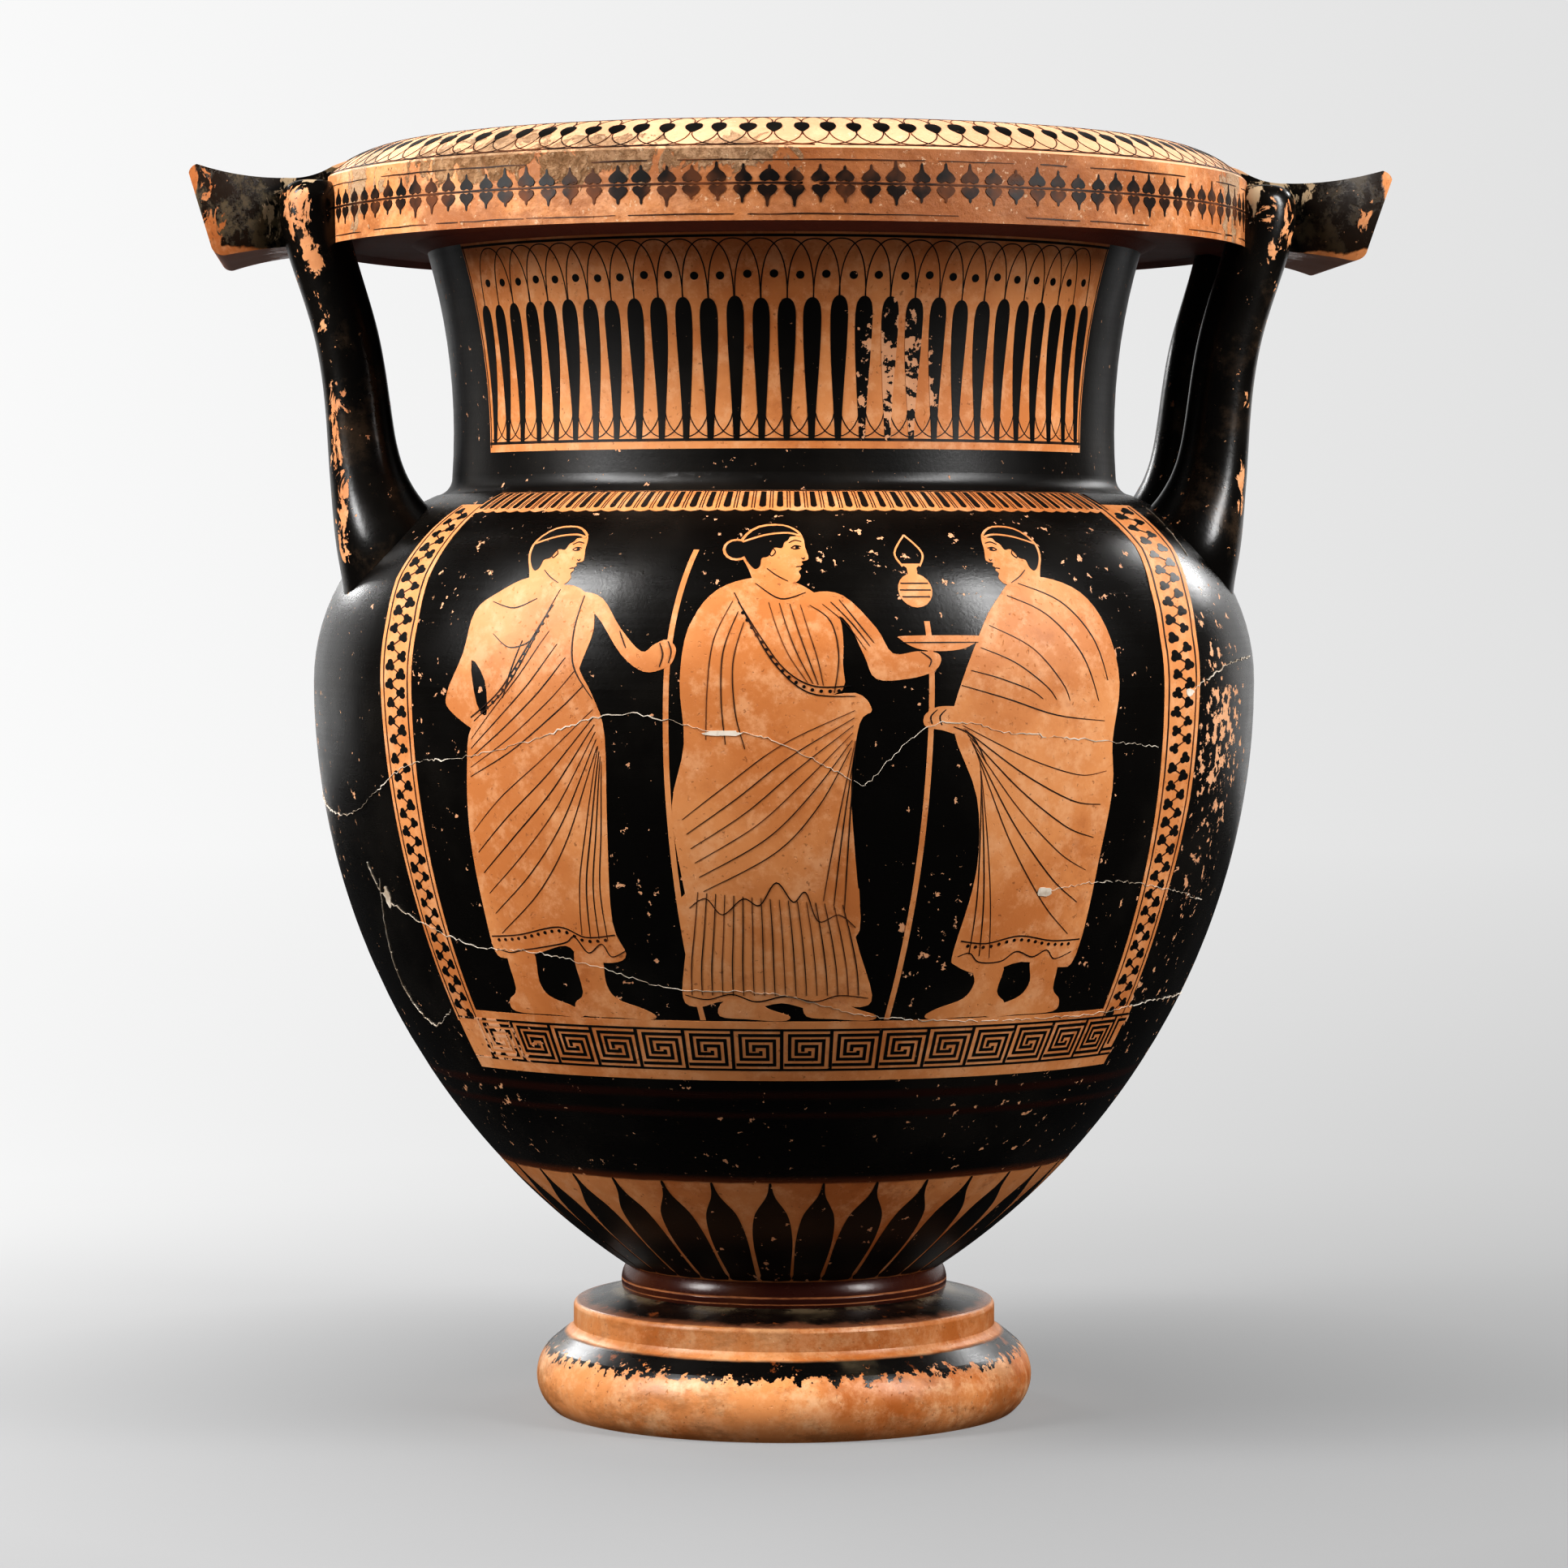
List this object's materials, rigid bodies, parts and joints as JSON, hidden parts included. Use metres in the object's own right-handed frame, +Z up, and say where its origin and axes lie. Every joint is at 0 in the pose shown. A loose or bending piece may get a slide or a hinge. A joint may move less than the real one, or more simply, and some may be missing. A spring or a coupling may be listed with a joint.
{
  "type": "column krater",
  "caption": "Ancient mixing bowl with a stepped foot, a wide neck, an overhanging mouth and paired column handles.",
  "frame": {"origin": "centre of the foot's resting plane, on the vase's axis", "axes": "+Z up along the vase's axis, +X through the right handle, -Y towards the main picture"},
  "size_m": [0.3714, 0.2986, 0.4],
  "materials": {
    "black_gloss": "glossy",
    "orange_clay": "satin"
  },
  "bodies": {
    "root": {"foot": "orange_clay", "foot_fillet": "orange_clay", "lower_body": "black_gloss", "upper_body": "black_gloss", "neck": "black_gloss", "rim": "orange_clay", "right_front_column": "black_gloss", "right_back_column": "black_gloss", "left_front_column": "black_gloss", "left_back_column": "black_gloss", "right_handle_plate": "black_gloss", "left_handle_plate": "black_gloss"}
  },
  "joints": []
}
